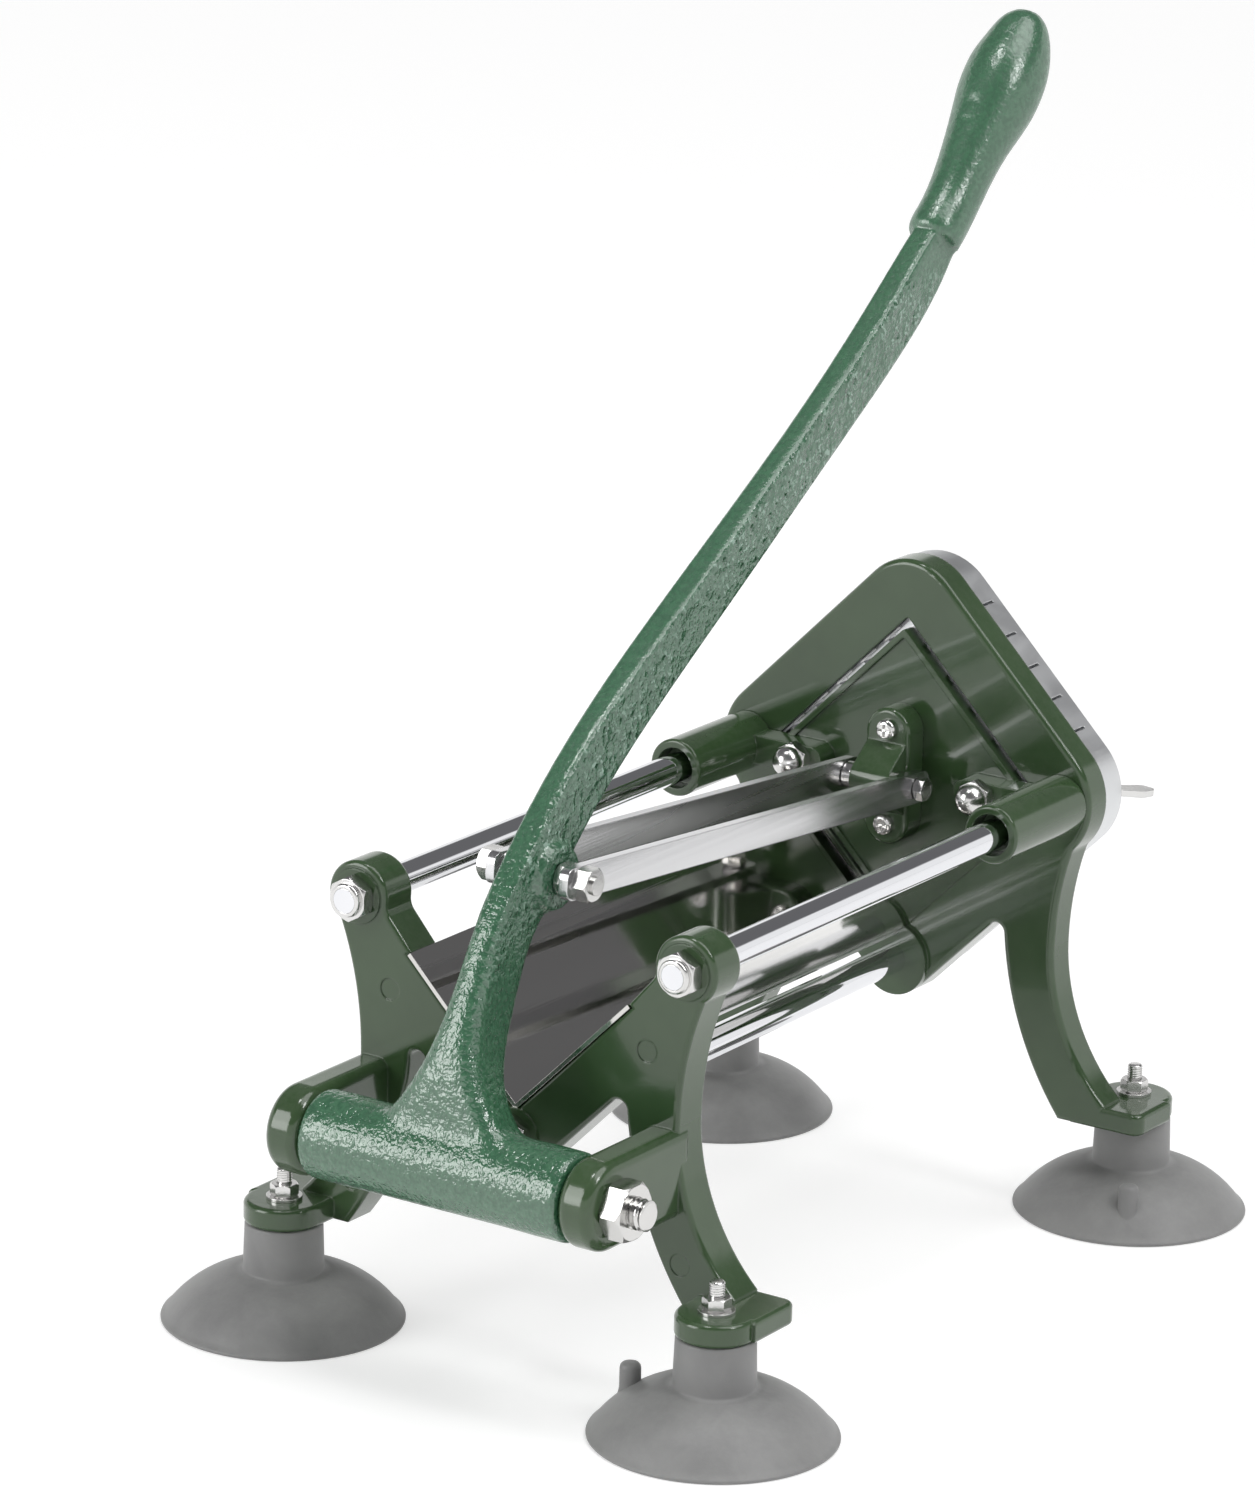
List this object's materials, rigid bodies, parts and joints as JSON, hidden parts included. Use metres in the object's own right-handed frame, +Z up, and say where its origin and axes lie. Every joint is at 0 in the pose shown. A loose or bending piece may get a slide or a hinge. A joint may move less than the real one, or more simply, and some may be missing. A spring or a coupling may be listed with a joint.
{
  "type": "french fry cutter",
  "caption": "Bench-top fry cutter: a long cast handle drives a push block along two rods, over a V trough, through a diagonal blade grid; it stands on suction cups.",
  "frame": {"origin": "on the counter plane, under the middle of the overall length and width", "axes": "+X from the handle pivot end to the blade end, +Y to the left seen from behind the handle, +Z up"},
  "size_m": [0.3396, 0.2418, 0.3907],
  "materials": {
    "frame_enamel": "smooth gloss enamel over cast metal, olive green",
    "handle_hammertone": "gloss green hammertone paint over a rough casting",
    "polished_chrome": "bright chrome plate",
    "bright_zinc": "bright zinc plated hardware",
    "polished_stainless": "mirror polished stainless sheet",
    "blade_steel": "ground stainless blade strip",
    "cast_aluminium": "machined aluminium casting",
    "grey_rubber": "satin grey moulded rubber"
  },
  "bodies": {
    "base": {"rear_frame": "frame_enamel", "front_frame": "frame_enamel", "trough": "polished_stainless", "blade_frame": "cast_aluminium", "blades_rising": "blade_steel", "blades_falling": "blade_steel", "rod_left": "polished_chrome", "rod_right": "polished_chrome", "rod_bottom": "polished_chrome", "rod_lock_nuts": "bright_zinc", "pivot_bolt": "bright_zinc", "pivot_nut": "bright_zinc", "foot_studs": "bright_zinc", "foot_washers": "bright_zinc", "foot_nuts": "bright_zinc", "suction_cup_rear_left": "grey_rubber", "suction_cup_rear_right": "grey_rubber", "suction_cup_front_left": "grey_rubber", "suction_cup_front_right": "grey_rubber"},
    "handle": {"handle": "handle_hammertone", "handle_stud": "bright_zinc"},
    "pusher": {"pusher_carriage": "frame_enamel", "pusher_bracket": "frame_enamel", "bracket_screws": "bright_zinc", "pusher_pin": "bright_zinc", "pusher_pin_spacers": "bright_zinc", "pusher_pin_nuts": "bright_zinc", "push_block": "cast_aluminium", "push_block_studs": "bright_zinc", "acorn_nuts": "bright_zinc"},
    "link": {"link_bar_left": "polished_chrome", "link_bar_right": "polished_chrome", "link_studs": "bright_zinc", "link_jam_nuts": "bright_zinc", "link_end_nuts": "bright_zinc"},
    "wing_nut_left": {"wing_nut_left": "bright_zinc"},
    "wing_nut_right": {"wing_nut_right": "bright_zinc"}
  },
  "joints": [
    {"name": "handle_swing", "type": "hinge", "parent": "base", "child": "handle", "pos_m": [-0.1555, 0, 0.0768], "axis": [0, -1, 0], "range_deg": [0, 90]},
    {"name": "pusher_slide", "type": "slide", "parent": "base", "child": "pusher", "axis": [-1, 0, 0], "range_m": [0, 0.128]},
    {"name": "link_pivot", "type": "hinge", "parent": "pusher", "child": "link", "pos_m": [0.0866, 0, 0.1426], "axis": [0, -1, 0], "range_deg": [0, 10.6]},
    {"name": "wing_nut_left_turn", "type": "hinge", "parent": "base", "child": "wing_nut_left", "pos_m": [0.126, 0.0613, 0.1423], "axis": [1, 0, 0], "range_deg": [0, 360]},
    {"name": "wing_nut_right_turn", "type": "hinge", "parent": "base", "child": "wing_nut_right", "pos_m": [0.126, -0.0613, 0.1423], "axis": [1, 0, 0], "range_deg": [0, 360]}
  ],
  "couplings": [
    {"joint": "pusher_slide", "follows": "handle_swing", "m_per_rad": 0.08147},
    {"joint": "link_pivot", "follows": "handle_swing", "ratio": 0.11767}
  ]
}
